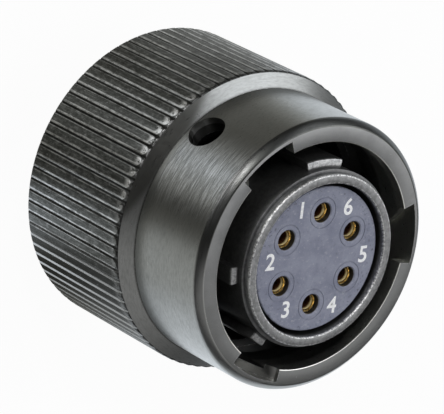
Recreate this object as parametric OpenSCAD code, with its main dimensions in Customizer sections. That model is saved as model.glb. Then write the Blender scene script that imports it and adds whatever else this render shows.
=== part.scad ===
// Circular connector: bayonet-coupled cable plug with six socket contacts.
// The axis is +Z. It stands on its rear end, and the mating face points up.
// Angles are counted anticlockwise as seen from the mating face, from +X.

/* [Coupling ring] */
// Diameter over the knurled grip
grip_d = 21.8; // [21.2:0.1:23]
// Length of the knurled grip
grip_l = 10.75; // [9:0.25:13]
// Number of straight knurl teeth round the grip
knurl_teeth = 82; // [60:2:96]
// Depth of the knurl grooves
knurl_depth = 0.12; // [0.1:0.01:0.4]
// Share of each tooth's pitch that is flat crest
crest_share = 0.74; // [0.2:0.02:0.8]
// Edge break at the grip's rear end
grip_break = 0.25; // [0.1:0.05:0.5]
// Length of the cone between the grip and the neck
cone_l = 0.65; // [0.4:0.05:1.2]
// Diameter of the plain neck
neck_d = 19.6; // [19.2:0.1:20.4]
// Length of the plain neck
neck_l = 7.1; // [6.8:0.1:8]
// Edge break at the neck's front end
neck_break = 0.46; // [0.1:0.02:0.5]
// Bore through the front lip
lip_d = 16.36; // [16:0.02:16.6]
// Thickness of the front lip
lip_l = 0.95; // [0.7:0.05:1.3]
// Edge break round the lip's bore
lip_break = 0.06; // [0.02:0.01:0.15]
// Bore of the cavity behind the lip
cavity_d = 17; // [16.8:0.1:17.4]
// Bore of the open space at the rear of the ring
rear_cavity_d = 18.6; // [17.6:0.1:19]
// Thickness of the inner flange that pulls on the shell
ring_flange_l = 1.6; // [1:0.1:2]

/* [Bayonet] */
// Angle of the first entry slot
slot_turn = 4.5; // [0:0.5:119]
// Width of each entry slot, as an angle
slot_angle = 28; // [24:1:32]
// Diameter at the floor of the slots and ramps
groove_d = 18.15; // [17.8:0.05:18.4]
// Depth of a slot's sloping side where it meets the front face
entry_edge = 0.3; // [0.2:0.1:0.6]
// Slope of that side, as depth over arc length
entry_slope = 1; // [0.8:0.05:1.3]
// Turn from a slot to its lock position
lock_turn = 117; // [112:1:120]
// Distance from the front face to the lock position
lock_depth = 5.65; // [5:0.05:6]
// Diameter of the witness hole at the lock position
witness_d = 2.7; // [2.5:0.05:2.9]
// Width of the ramp that a pin runs in
ramp_w = 2.35; // [2:0.05:2.45]
// Step from the lip's underside down to the ramp
ramp_step = 0.12; // [0.05:0.01:0.3]
// How soon the ramp flattens out
ramp_curve = 2.4; // [1.2:0.1:3]

/* [Shell] */
// Length of the threaded tail behind the coupling ring
tail_l = 3.8; // [3:0.1:6]
// Major diameter of the rear thread
thread_d = 14.29; // [13.8:0.01:14.4]
// Length of the land between the rear thread and the retaining ring
rear_land_l = 0.95; // [0.6:0.05:1.2]
// Depth of the thread's run-out groove
runout_depth = 0.45; // [0.2:0.05:0.6]
// Diameter of the land that the coupling ring turns on
land_d = 14.6; // [14.5:0.05:15]
// Bore of the wire well at the rear
well_d = 12; // [11.8:0.05:12.2]
// Depth of the wire well
well_l = 6; // [5:0.1:7]
// Thickness of the shell's flange
flange_l = 1.6; // [1:0.1:2]
// Depth of the flange's front face below the coupling ring's front face
mating_depth = 10.1; // [9:0.1:10.5]
// Diameter of the barrel
barrel_d = 12.8; // [12.6:0.05:13]
// Diameter of the reduced rim in front of the barrel
rim_d = 12.35; // [12:0.05:12.5]
// Length of the reduced rim
rim_l = 0.5; // [0.3:0.05:0.8]
// Distance of the rim in front of the coupling ring's front face
rim_proud = 0.9; // [0:0.1:1.5]
// Bore of the barrel
bore_d = 11; // [10.9:0.05:11.2]
// Edge break on the rim
rim_break = 0.1; // [0.05:0.05:0.2]

/* [Keys] */
// Height of the keys on the barrel
key_h = 0.6; // [0.3:0.05:0.7]
// Width of the master key, as an angle
master_angle = 25; // [15:1:30]
// Width of the other keys, as an angle
minor_angle = 10; // [6:1:14]
// Distance of the keys' front ends behind the rim
key_setback = 0.9; // [0.6:0.1:2]
// Distance of the keys' rear ends from the flange
key_gap = 1.8; // [1.3:0.1:3]
// Edge break on the front ends of the keys
key_break = 0.2; // [0.1:0.05:0.25]

/* [Insert] */
// Distance of the insert's face behind the rim
insert_recess = 0.45; // [0.2:0.05:1]
// Diameter of the insert's face
insert_face_d = 10.4; // [10:0.05:10.7]
// Length of the reduced front of the insert
insert_nose_l = 2.2; // [1.5:0.1:4]
// Length of the insert's rear flange
insert_flange_l = 2; // [1.5:0.1:3]
// Edge break round the insert's face
insert_break = 0.12; // [0.05:0.01:0.2]

/* [Contacts] */
// Diameter of the circle through the contacts
contact_circle_d = 6.604; // [6:0.05:7]
// Diameter of the entry hole in the insert's face
entry_d = 1.46; // [1.42:0.01:1.6]
// Depth of the entry hole
entry_l = 0.85; // [0.7:0.05:1.2]
// Edge break at the mouth of the entry hole
entry_break = 0.07; // [0.02:0.01:0.15]
// Outside diameter of the socket tube
socket_d = 1.38; // [1.3:0.01:1.4]
// Bore that takes the mating pin
pin_bore_d = 1.06; // [1.04:0.01:1.1]
// Depth of the pin bore
pin_bore_l = 6.9; // [5:0.1:8]
// Lead-in at the mouth of the pin bore
mouth_break = 0.07; // [0.03:0.01:0.12]
// Distance of the socket's front end behind the insert's face
socket_setback = 0.4; // [0.2:0.05:0.6]
// Width of the slots between the spring fingers
finger_slot_w = 0.14; // [0.1:0.01:0.2]
// Length of the slots between the spring fingers
finger_slot_l = 5; // [3:0.1:6]
// Direction of those slots, as an angle seen from the mating face
finger_turn = 63; // [0:1:179]
// Outside diameter of the contact's body and solder cup
body_d = 1.58; // [1.5:0.01:1.64]
// Diameter of the collar that holds the contact in the insert
collar_d = 2.1; // [1.9:0.05:2.3]
// Length of the collar
collar_l = 0.8; // [0.5:0.1:1.2]
// Distance of the collar from the insert's rear face
collar_in = 3.6; // [3:0.1:4.5]
// Length of the solder cup behind the insert
cup_l = 3.5; // [2.5:0.1:4.5]
// Bore of the solder cup
cup_bore_d = 1.06; // [0.9:0.02:1.2]
// Depth of the solder cup's bore
cup_bore_l = 2.8; // [2:0.1:3.4]
// Length of the opening in the side of the solder cup
cup_window_l = 2; // [1:0.1:2.4]
// Outside diameter of the hood
hood_d = 1.74; // [1.64:0.02:1.9]
// Length of the hood
hood_l = 7.4; // [6:0.1:8]
// Distance of the hood's front end behind the socket's front end
hood_setback = 0.5; // [0.46:0.02:0.8]

/* [Washers and seals] */
// Thickness of the gasket
gasket_t = 0.9; // [0.5:0.1:1.1]
// Thickness of the two flat washers
washer_t = 0.3; // [0.2:0.05:0.4]
// Height of the wave washer at rest
wave_h = 1.4; // [1.2:0.05:1.6]
// Thickness of the wave washer's strip
wave_t = 0.25; // [0.15:0.05:0.3]
// Number of waves
waves = 3; // [3:1:4]
// Thickness of the retaining ring
snap_t = 0.8; // [0.5:0.05:1]
// Distance that the retaining ring stands out of its groove
snap_out = 0.7; // [0.5:0.05:0.9]
// Depth of the retaining ring's groove
snap_in = 0.42; // [0.3:0.02:0.5]
// Open angle of the retaining ring
snap_gap = 26; // [15:1:40]

/* [Clearances] */
// Radial running clearance of the coupling ring on the shell
run_gap = 0.06; // [0.03:0.01:0.1]
// Radial clearance of the flange, washers and gasket in the cavity
cavity_gap = 0.25; // [0.2:0.01:0.3]
// Gap between faces that bear on each other
face_gap = 0.03; // [0.01:0.01:0.05]
// Radial gap between pieces that are seated together
seat_gap = 0.03; // [0.01:0.01:0.05]

/* [Hidden] */
$fn = 96;
slots = 3;
contact_n = 6;
master_at = 90;
minor_at = [185, 235, 310, 345];
sweep_step = 4;
slot_steps = 9;
upright = 0.6;
flank_over = 0.2;
over = 1;

// Heights along the axis
z_ring = tail_l;
z_cone = z_ring + grip_l;
z_neck = z_cone + cone_l;
z_face = z_neck + neck_l;
z_rim = z_face + rim_proud;
z_step = z_rim - rim_l;
z_key = z_rim - key_setback;
z_flange_top = z_face - mating_depth;
z_flange = z_flange_top - flange_l;
z_front_washer = z_flange - face_gap - washer_t;
z_wave = z_front_washer - face_gap - wave_h;
z_rear_washer = z_wave - face_gap - washer_t;
z_ring_flange_top = z_rear_washer - face_gap;
z_ring_flange = z_ring_flange_top - ring_flange_l;
z_snap = z_ring_flange - face_gap - snap_t;
thread_l = z_snap - face_gap - rear_land_l - runout_depth;
z_lock = z_face - lock_depth;
ramp_top = lip_l + ramp_step;
z_insert = z_rim - insert_recess;
z_shoulder = well_l + insert_flange_l;
z_nose = z_insert - insert_nose_l;
z_socket = z_insert - socket_setback;
z_hood = z_socket - hood_setback - hood_l;
z_collar = well_l + collar_in;
z_cup = well_l - cup_l;

// Radii that follow from the fits
flange_r = cavity_d / 2 - cavity_gap;
land_bore_r = land_d / 2 + run_gap;
seal_r = barrel_d / 2 + seat_gap;
snap_r = land_d / 2 - snap_in;

// Solid swept round the axis between two radii, from [angle, low, high] sections
module swept(path, r0, r1, closed = false) {
    n = len(path);
    last = closed ? n - 1 : n - 2;
    points = [
        for (p = path)
            for (c = [[r0, p[1]], [r1, p[1]], [r1, p[2]], [r0, p[2]]])
                [c[0] * cos(p[0]), c[0] * sin(p[0]), c[1]]
    ];
    sides = [
        for (i = [0 : last])
            for (j = [0 : 3])
                let (k = (j + 1) % 4, a = 4 * i, b = 4 * ((i + 1) % n))
                    for (f = [[a + j, a + k, b + k], [a + j, b + k, b + j]]) f
    ];
    ends = closed ? [] : [[0, 3, 2, 1], [for (j = [0 : 3]) 4 * (n - 1) + j]];
    polyhedron(points, concat(sides, ends), convexity = 6);
}

// Straight knurl seen from the end: V grooves whose flanks run a little past the grip's diameter
module knurl_outline() {
    root = grip_d / 2 - knurl_depth;
    tip = grip_d / 2 + flank_over * knurl_depth;
    pitch = 360 / knurl_teeth;
    half = pitch * (crest_share - flank_over * (1 - crest_share)) / 2;
    polygon([
        for (i = [0 : knurl_teeth - 1])
            for (p = [[root, -pitch / 2], [tip, -half], [tip, half]])
                let (a = i * pitch + p[1]) [p[0] * cos(a), p[0] * sin(a)]
    ]);
}

module grip() {
    intersection() {
        translate([0, 0, z_ring]) linear_extrude(grip_l + cone_l) knurl_outline();
        rotate_extrude() polygon([
            [0, z_ring],
            [grip_d / 2 - grip_break, z_ring],
            [grip_d / 2, z_ring + grip_break],
            [grip_d / 2, z_cone],
            [neck_d / 2, z_neck],
            [0, z_neck]
        ]);
    }
}

module neck() {
    rotate_extrude() polygon([
        [0, z_cone],
        [neck_d / 2, z_cone],
        [neck_d / 2, z_face - neck_break],
        [neck_d / 2 - neck_break, z_face],
        [0, z_face]
    ]);
}

// Space inside the ring: front lip, cavity, bore of the inner flange and rear space
module ring_bore() {
    rotate_extrude() polygon([
        [0, z_ring - over],
        [rear_cavity_d / 2, z_ring - over],
        [rear_cavity_d / 2, z_ring_flange],
        [land_bore_r, z_ring_flange],
        [land_bore_r, z_ring_flange_top],
        [cavity_d / 2, z_ring_flange_top],
        [cavity_d / 2, z_face - lip_l],
        [lip_d / 2, z_face - lip_l],
        [lip_d / 2, z_face - lip_break],
        [lip_d / 2 + lip_break + over, z_face + over],
        [0, z_face + over]
    ]);
}

// Entry slot, with one upright side and one sloping side
function slot_depth(a) = min(
    ramp_top + ramp_w,
    entry_edge + entry_slope * (slot_angle / 2 - a) * PI / 180 * groove_d / 2
);
function slot_path() = [
    for (i = [0 : slot_steps])
        let (a = slot_angle * (i / slot_steps - 0.5))
            [a, z_face - slot_depth(a), z_face + over]
];

// Ramp from the lock position to the slot's upright side, nearly flat first and then steep
function ramp_z(s) =
    let (start = ramp_top + ramp_w / 2)
        z_face - start - (lock_depth - start) * (1 - pow(1 - s, ramp_curve));
function ramp_path() =
    let (arc = lock_turn - slot_angle / 2, steps = ceil(arc / sweep_step))
        [
            for (i = [0 : steps])
                let (s = 1 - i / steps, z = ramp_z(s))
                    [-slot_angle / 2 - s * arc - upright, z - ramp_w / 2, z + ramp_w / 2]
        ];

module bayonet_cuts() {
    for (i = [0 : slots - 1])
        rotate(slot_turn + i * 360 / slots)
            swept(concat(ramp_path(), slot_path()), lip_d / 2 - over, groove_d / 2);
}

module witness_holes() {
    for (i = [0 : slots - 1])
        rotate(slot_turn - lock_turn + i * 360 / slots)
            translate([lip_d / 2 - over, 0, z_lock])
                rotate([0, 90, 0]) cylinder(d = witness_d, h = neck_d);
}

module coupling_ring() {
    color("dimgray") difference() {
        union() {
            grip();
            neck();
        }
        ring_bore();
        bayonet_cuts();
        witness_holes();
    }
}

// Key along the barrel, centred on the given angle
module key(at, angle) {
    rotate(at - angle / 2) rotate_extrude(angle = angle) polygon([
        [barrel_d / 2 - key_h, z_flange_top + key_gap],
        [barrel_d / 2 + key_h, z_flange_top + key_gap],
        [barrel_d / 2 + key_h, z_key - key_break],
        [barrel_d / 2 + key_h - key_break, z_key],
        [barrel_d / 2 - key_h, z_key]
    ]);
}

module shell_outline() {
    thread_r = thread_d / 2;
    land_r = land_d / 2;
    polygon([
        [well_d / 2, 0],
        [thread_r - runout_depth, 0],
        [thread_r, runout_depth],
        [thread_r, thread_l],
        [thread_r - runout_depth, thread_l],
        [thread_r - runout_depth, thread_l + runout_depth],
        [land_r, thread_l + runout_depth],
        [land_r, z_snap - face_gap],
        [snap_r, z_snap - face_gap],
        [snap_r, z_snap + snap_t + face_gap],
        [land_r, z_snap + snap_t + face_gap],
        [land_r, z_flange],
        [flange_r, z_flange],
        [flange_r, z_flange_top],
        [barrel_d / 2, z_flange_top],
        [barrel_d / 2, z_step],
        [rim_d / 2, z_step],
        [rim_d / 2, z_rim - rim_break],
        [rim_d / 2 - rim_break, z_rim],
        [bore_d / 2 + rim_break, z_rim],
        [bore_d / 2, z_rim - rim_break],
        [bore_d / 2, z_shoulder],
        [well_d / 2, z_shoulder]
    ]);
}

module plug_shell() {
    color("gray") union() {
        rotate_extrude() shell_outline();
        key(master_at, master_angle);
        for (a = minor_at) key(a, minor_angle);
    }
}

function contact_at(i) = master_at + (i - 1) * 360 / contact_n;

// Place of one contact on the contact circle
module at_contact(i) {
    rotate(contact_at(i)) translate([contact_circle_d / 2, 0, 0]) children();
}

// Stepped hole for one contact and its hood
module contact_cavity() {
    body_r = body_d / 2 + seat_gap;
    collar_r = collar_d / 2 + seat_gap;
    hood_r = hood_d / 2 + seat_gap;
    rotate_extrude() polygon([
        [0, well_l - over],
        [body_r, well_l - over],
        [body_r, z_collar - seat_gap],
        [collar_r, z_collar - seat_gap],
        [collar_r, z_collar + collar_l + seat_gap],
        [body_r, z_collar + collar_l + seat_gap],
        [body_r, z_hood - seat_gap],
        [hood_r, z_hood - seat_gap],
        [hood_r, z_insert - entry_l],
        [entry_d / 2, z_insert - entry_l],
        [entry_d / 2, z_insert - entry_break],
        [entry_d / 2 + entry_break + over, z_insert + over],
        [0, z_insert + over]
    ]);
}

module insert() {
    color("slategray") difference() {
        rotate_extrude() polygon([
            [0, well_l],
            [well_d / 2 - seat_gap, well_l],
            [well_d / 2 - seat_gap, z_shoulder - face_gap],
            [bore_d / 2 - seat_gap, z_shoulder - face_gap],
            [bore_d / 2 - seat_gap, z_nose],
            [insert_face_d / 2, z_nose],
            [insert_face_d / 2, z_insert - insert_break],
            [insert_face_d / 2 - insert_break, z_insert],
            [0, z_insert]
        ]);
        for (i = [1 : contact_n]) at_contact(i) contact_cavity();
    }
}

// Machined contact: solder cup, body, collar and slotted socket tube
module socket(i) {
    color("goldenrod") at_contact(i) difference() {
        union() {
            translate([0, 0, z_cup]) cylinder(d = body_d, h = z_hood - face_gap - z_cup);
            translate([0, 0, z_collar]) cylinder(d = collar_d, h = collar_l);
            translate([0, 0, z_collar]) cylinder(d = socket_d, h = z_socket - z_collar);
        }
        translate([0, 0, z_cup - over]) cylinder(d = cup_bore_d, h = cup_bore_l + over);
        translate([0, -body_d, z_cup - over]) cube([body_d, 2 * body_d, cup_window_l + over]);
        translate([0, 0, z_socket - pin_bore_l]) cylinder(d = pin_bore_d, h = pin_bore_l + over);
        translate([0, 0, z_socket - mouth_break])
            cylinder(d1 = pin_bore_d, d2 = pin_bore_d + 4 * mouth_break, h = 2 * mouth_break);
        rotate(finger_turn - contact_at(i)) translate([0, 0, z_socket - finger_slot_l / 2 + over / 2])
            cube([2 * socket_d, finger_slot_w, finger_slot_l + over], center = true);
    }
}

// Thin sleeve over the spring fingers
module hood(i) {
    color("silver") at_contact(i) translate([0, 0, z_hood]) difference() {
        cylinder(d = hood_d, h = hood_l);
        translate([0, 0, -over]) cylinder(d = socket_d + 2 * seat_gap, h = hood_l + 2 * over);
    }
}

// Flat ring between two radii
module flat_ring(r0, r1, z, t) {
    translate([0, 0, z]) difference() {
        cylinder(r = r1, h = t);
        translate([0, 0, -over]) cylinder(r = r0, h = t + 2 * over);
    }
}

module gasket() {
    color("black") flat_ring(seal_r, flange_r, z_flange_top, gasket_t);
}

module front_washer() {
    color("silver") flat_ring(land_bore_r, flange_r, z_front_washer, washer_t);
}

module rear_washer() {
    color("silver") flat_ring(land_bore_r, flange_r, z_rear_washer, washer_t);
}

function wave_z(a) = z_wave + (wave_h - wave_t) * (1 + cos(waves * a)) / 2;

module wave_washer() {
    path = [for (a = [0 : 2 * sweep_step : 359]) [a, wave_z(a), wave_z(a) + wave_t]];
    color("silver") swept(path, land_bore_r, flange_r, closed = true);
}

// Split ring in the shell's groove
module retaining_ring() {
    color("silver") rotate(master_at + snap_gap / 2)
        rotate_extrude(angle = 360 - snap_gap)
            translate([snap_r + seat_gap, z_snap]) square([snap_in - seat_gap + snap_out, snap_t]);
}

coupling_ring();
plug_shell();
insert();
for (i = [1 : contact_n]) socket(i);
for (i = [1 : contact_n]) hood(i);
gasket();
front_washer();
wave_washer();
rear_washer();
retaining_ring();
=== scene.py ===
# %% [markdown]
# # A bayonet cable plug
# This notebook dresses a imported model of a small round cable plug, which brings the solids, the moving
# bodies and the size. Here the pieces that show are modelled again with soft edges and fine detail, every
# piece gets a finish, and a camera and soft lamps are set up as in a studio.

import math

import bpy
from mathutils import Euler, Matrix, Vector


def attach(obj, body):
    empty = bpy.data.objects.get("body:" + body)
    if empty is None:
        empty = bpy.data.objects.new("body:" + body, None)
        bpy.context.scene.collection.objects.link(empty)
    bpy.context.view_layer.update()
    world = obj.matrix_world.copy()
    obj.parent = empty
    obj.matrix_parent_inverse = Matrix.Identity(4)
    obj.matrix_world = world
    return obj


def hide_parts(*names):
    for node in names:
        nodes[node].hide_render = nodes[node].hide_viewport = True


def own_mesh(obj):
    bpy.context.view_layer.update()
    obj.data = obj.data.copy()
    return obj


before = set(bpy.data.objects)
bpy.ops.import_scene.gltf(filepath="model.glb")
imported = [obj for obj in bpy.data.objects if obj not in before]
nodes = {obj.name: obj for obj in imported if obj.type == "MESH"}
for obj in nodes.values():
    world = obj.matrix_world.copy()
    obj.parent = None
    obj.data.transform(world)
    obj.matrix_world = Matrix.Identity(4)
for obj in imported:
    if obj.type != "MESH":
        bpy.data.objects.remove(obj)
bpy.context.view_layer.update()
MM = 0.001

# %% [markdown]
# ## Selecting by place
# An operator acts on whatever is selected, so a script has to select with as much care as a hand does.
# These helpers open one piece in edit mode and pick its points, edges or faces by where they are. Picking
# by number would be shorter, but the numbers change with every cut.


# %% Helpers that select
def deselect():
    """Leaves edit mode and deselects every object."""
    if bpy.context.object and bpy.context.object.mode != "OBJECT":
        bpy.ops.object.mode_set(mode="OBJECT")
    bpy.ops.object.select_all(action="DESELECT")


def hold(*pieces):
    """Selects the given pieces alone, with the first one active."""
    deselect()
    for piece in pieces:
        piece.select_set(True)
    bpy.context.view_layer.objects.active = pieces[0]


def edit(piece, pick_mode="VERT"):
    """Opens one piece alone in edit mode, with nothing picked."""
    hold(piece)
    bpy.ops.object.mode_set(mode="EDIT")
    bpy.ops.mesh.select_mode(type=pick_mode)
    bpy.ops.mesh.select_all(action="DESELECT")


def pick(piece, kind, test):
    """Picks the vertices, edges or polygons of a piece whose corners all pass the test, and counts them."""
    edit(piece, {"vertices": "VERT", "edges": "EDGE", "polygons": "FACE"}[kind])
    bpy.ops.object.mode_set(mode="OBJECT")
    passed = [test(v.co / MM) for v in piece.data.vertices]
    count = 0
    for part in getattr(piece.data, kind):
        part.select = passed[part.index] if kind == "vertices" else all(passed[i] for i in part.vertices)
        count += part.select
    bpy.ops.object.mode_set(mode="EDIT")
    return count


def pick_all():
    bpy.ops.mesh.select_all(action="SELECT")


def radius(co):
    return math.hypot(co.x, co.y)


SLACK = 0.004


def near(value, goal, slack=SLACK):
    return abs(value - goal) < slack


print("places match to", SLACK, "mm")

# %% [markdown]
# ## Turning
# Nearly everything on the plug is made on a lathe. A lathe part is a circle drawn out along an outline,
# so one helper adds a circle, extrudes it from point to point and scales each new loop to its radius. A
# Spin of a drawn profile would do too, but here every loop stays a row that is easy to pick later.

# %% Turn an outline
MERGE = 0.0005
ORIGIN = (0, 0, 0)


def widen_picked(share):
    """Scales what is picked towards or away from the axis."""
    bpy.ops.transform.resize(value=(share, share, 1), center_override=ORIGIN)


def turn_picked(angle):
    """Turns what is picked about the axis."""
    bpy.ops.transform.rotate(value=-angle, orient_axis="Z", center_override=ORIGIN)


def turned(name, outline, sides, closed=True):
    """Turns (radius, height) points into a ring, or into a solid with a flat cap at each end."""
    deselect()
    r, z = outline[0]
    cap = "NOTHING" if closed else "NGON"
    bpy.ops.mesh.primitive_circle_add(vertices=sides, radius=r * MM, location=(0, 0, z * MM), fill_type=cap)
    piece = bpy.context.object
    piece.name = piece.data.name = name
    bpy.ops.object.transform_apply(location=True)
    bpy.ops.object.mode_set(mode="EDIT")
    bpy.ops.mesh.select_mode(type="EDGE")
    pick_all()
    route = outline + outline[:1] if closed else outline
    for (r0, z0), (r1, z1) in zip(route, route[1:]):
        bpy.ops.mesh.extrude_edges_move(TRANSFORM_OT_translate={"value": (0, 0, (z1 - z0) * MM)})
        widen_picked(r1 / r0)
    if not closed:
        bpy.ops.mesh.edge_face_add()
    pick_all()
    bpy.ops.mesh.remove_doubles(threshold=MERGE * MM)
    bpy.ops.mesh.normals_make_consistent(inside=False)
    deselect()
    return piece


print("points closer than", MERGE, "mm are merged")

# %% [markdown]
# ## Rounding, cutting and shading
# No real edge is quite sharp, and a thin bevel catches the light, so one helper rounds a loop of edges
# that it finds by radius and height. Slots and holes are cut with a Boolean modifier, as a mill would cut
# them. Weighted normals keep the large faces flat beside their bevels.


# %% Soften, cut and smooth
def soften(piece, corners, width, steps=2):
    """Rounds the loop of edges at each of the given (radius, height) corners."""
    for r, z in corners:
        pick(piece, "edges", lambda co: near(radius(co), r) and near(co.z, z))
        bpy.ops.mesh.bevel(offset=width * MM, segments=steps, affect="EDGES")
    deselect()


def cut(piece, cutters):
    """Takes the joined cutters out of a piece."""
    hold(*cutters)
    if len(cutters) > 1:
        bpy.ops.object.join()
    tool = bpy.context.object
    hold(piece)
    change = piece.modifiers.new("cut", "BOOLEAN")
    change.operation = "DIFFERENCE"
    change.solver = "EXACT"
    change.object = tool
    bpy.ops.object.modifier_apply(modifier=change.name)
    bpy.data.objects.remove(tool)


SHARP = math.radians(28)


def smooth(piece):
    """Shades a piece smooth, apart from its sharp edges, and keeps large faces flat."""
    hold(piece)
    bpy.ops.object.shade_smooth_by_angle(angle=SHARP)
    change = piece.modifiers.new("flat", "WEIGHTED_NORMAL")
    change.keep_sharp = True
    bpy.ops.object.modifier_apply(modifier=change.name)
    print(piece.name, len(piece.data.vertices), "vertices,", len(piece.data.polygons), "faces")


print(f"edges stay sharp from {SHARP:.3f} radians")

# %% [markdown]
# ## The coupling ring
# The ring is one turned piece: a knurled grip, a cone, a plain neck and a lip that reaches inwards. The
# outline is the section on one side of the axis. Eight columns go to each knurl tooth. Two loops near the
# grip's front give the teeth their tips, and a holding loop on the cone keeps the shading of the teeth
# off it.

# %% Turn the ring's blank
TEETH = 82
COLUMNS = 8
GRIP_R, ROOT_R, NECK_R, FACE_R, LIP_R = 10.899, 10.8, 9.8, 9.34, 8.18
REAR_R, REAR_EDGE_R, CAVITY_R, LAND_BORE_R = 9.3, 10.65, 8.5, 7.36
GRIP_Z, REAR_EDGE_Z, TIP_Z, CONE_Z, NECK_Z = 3.8, 4.05, 14.15, 14.55, 15.2
PULL_LOW, PULL_TOP, LIP_LOW, EDGE_Z, FACE_Z = 6.88, 8.48, 21.35, 21.84, 22.3
TIP_RUN = 0.2
HOLD_R = ROOT_R - 0.03


def cone_height(r):
    """Height at which the cone has the given radius."""
    return CONE_Z + (NECK_Z - CONE_Z) * (GRIP_R - r) / (GRIP_R - NECK_R)


ROOT_Z = cone_height(ROOT_R)
ring = turned(
    "ring_body",
    [
        (REAR_R, GRIP_Z), (REAR_EDGE_R, GRIP_Z), (GRIP_R, REAR_EDGE_Z), (GRIP_R, TIP_Z),
        (GRIP_R, TIP_Z + TIP_RUN), (GRIP_R, CONE_Z), (ROOT_R, ROOT_Z), (HOLD_R, cone_height(HOLD_R)),
        (NECK_R, NECK_Z), (NECK_R, EDGE_Z), (FACE_R, FACE_Z), (LIP_R, FACE_Z), (LIP_R, LIP_LOW),
        (CAVITY_R, LIP_LOW), (CAVITY_R, PULL_TOP), (LAND_BORE_R, PULL_TOP), (LAND_BORE_R, PULL_LOW),
        (REAR_R, PULL_LOW),
    ],
    TEETH * COLUMNS,
)
soften(ring, [(GRIP_R, CONE_Z), (GRIP_R, REAR_EDGE_Z)], width=0.07)
soften(ring, [(NECK_R, EDGE_Z)], width=0.16, steps=3)
soften(ring, [(FACE_R, FACE_Z)], width=0.07)
soften(ring, [(LIP_R, FACE_Z)], width=0.06)
print("ring blank", len(ring.data.polygons), "faces")

# %% [markdown]
# ### Knurl
# A straight knurl is a row of grooves pressed along the grip. One tooth could be repeated round the ring,
# but the columns are already there: the ones in each groove are picked and scaled towards the axis, and
# the ones between keep the grip's full size. One side of a groove is steeper than the other. Near the
# cone the grooves widen, so that every tooth ends in a rounded tip.

# %% Shape of one groove
PITCH = math.tau * GRIP_R / TEETH
# Each column's place along the arc, then its radius on the grip, at the start of the tip and at the end
GROOVE = {
    0: (0, ROOT_R, ROOT_R, ROOT_R),
    1: (0.05, 10.85, 10.825, ROOT_R),
    2: (0.1, 10.893, 10.87, 10.82),
    3: (0.16, GRIP_R, 10.893, 10.86),
    -1: (-0.05, 10.842, 10.82, ROOT_R),
    -2: (-0.11, 10.874, 10.85, 10.82),
    -3: (-0.22, 10.897, 10.885, 10.855),
}
TIP_START, TIP_END = TIP_Z + TIP_RUN / 2, TIP_Z + 1.5 * TIP_RUN
STRETCHES = ((0, TIP_START), (TIP_START, TIP_END), (TIP_END, NECK_Z))


def column(co):
    """Columns counted from the bottom of the nearest groove, less than zero on its clockwise side."""
    place = round(math.atan2(co.y, co.x) / math.tau * TEETH * COLUMNS) % COLUMNS
    return place if place <= COLUMNS / 2 else place - COLUMNS


def on_grip(co):
    return radius(co) > ROOT_R - 0.12 and GRIP_Z - 0.01 < co.z < ROOT_Z - 0.004


print(f"pitch {PITCH:.3f} mm, grooves {GRIP_R - ROOT_R:.3f} mm deep")

# %% [markdown]
# The bevels gave the grip's ends several rows, each with a radius of its own. A row is pulled in only
# where it stands above the groove, and then the column is turned to its place along the arc.

# %% Press the grooves
rows = sorted({round(radius(v.co / MM), 4) for v in ring.data.vertices if on_grip(v.co / MM)})
for place, (arc, *depths) in sorted(GROOVE.items(), key=lambda item: abs(item[0])):
    for row in rows:
        for depth, (low, high) in zip(depths, STRETCHES):
            if row > depth + 0.002:
                pick(ring, "vertices", lambda co: low < co.z < high and on_grip(co) and column(co) == place
                     and near(radius(co), row, 0.0006))
                widen_picked(depth / row)
    pick(ring, "vertices", lambda co: on_grip(co) and column(co) == place)
    turn_picked((arc - place * PITCH / COLUMNS) / GRIP_R)
deselect()
print("knurl:", TEETH, "grooves,", len(rows), "rows")

# %% [markdown]
# ### Bayonet slots and ramps
# Three slots let the pins of the other half in. Each runs on as a ramp inside the neck, steep at first
# and nearly flat at its end. It is worked out here as a list of sections, each an angle with the heights
# of its two sides.

# %% Sections of a slot and its ramp
SLOT_TURN, SLOT_ANGLE, LOCK_TURN = 4.5, 28, 117
GROOVE_R, RAMP_TOP, RAMP_W, LOCK_DEPTH = 9.075, 1.07, 2.35, 5.65
SLOT_EDGE, JOIN_ANGLE, FLATTEN = 0.3, 0.6, 2.4
RAMP_STEPS, SLOT_STEPS = 26, 9


def ramp_section(share):
    """Lower and upper height of the ramp at a share of its run."""
    start = RAMP_TOP + RAMP_W / 2
    middle = FACE_Z - start - (LOCK_DEPTH - start) * (1 - (1 - share) ** FLATTEN)
    return middle - RAMP_W / 2, middle + RAMP_W / 2


def slot_section(angle):
    """Lower and upper height of the slot, which is open to the front and slopes on one side."""
    depth = SLOT_EDGE + math.radians(SLOT_ANGLE / 2 - angle) * GROOVE_R
    return FACE_Z - min(RAMP_TOP + RAMP_W, depth), FACE_Z + 1


def bayonet_sections():
    run = LOCK_TURN - SLOT_ANGLE / 2
    shares = [1 - i / RAMP_STEPS for i in range(RAMP_STEPS + 1)]
    angles = [SLOT_ANGLE * (i / SLOT_STEPS - 0.5) for i in range(SLOT_STEPS + 1)]
    ramp = [(-SLOT_ANGLE / 2 - JOIN_ANGLE - run * share, *ramp_section(share)) for share in shares]
    return ramp + [(angle, *slot_section(angle)) for angle in angles]


print("sections:", len(bayonet_sections()))

# %% [markdown]
# The tool for a slot starts as a flat plane that stands on end. It is extruded from section to section
# round the axis and stretched to the height of each. A Screw modifier would give a ramp of one slope
# only.


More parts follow.
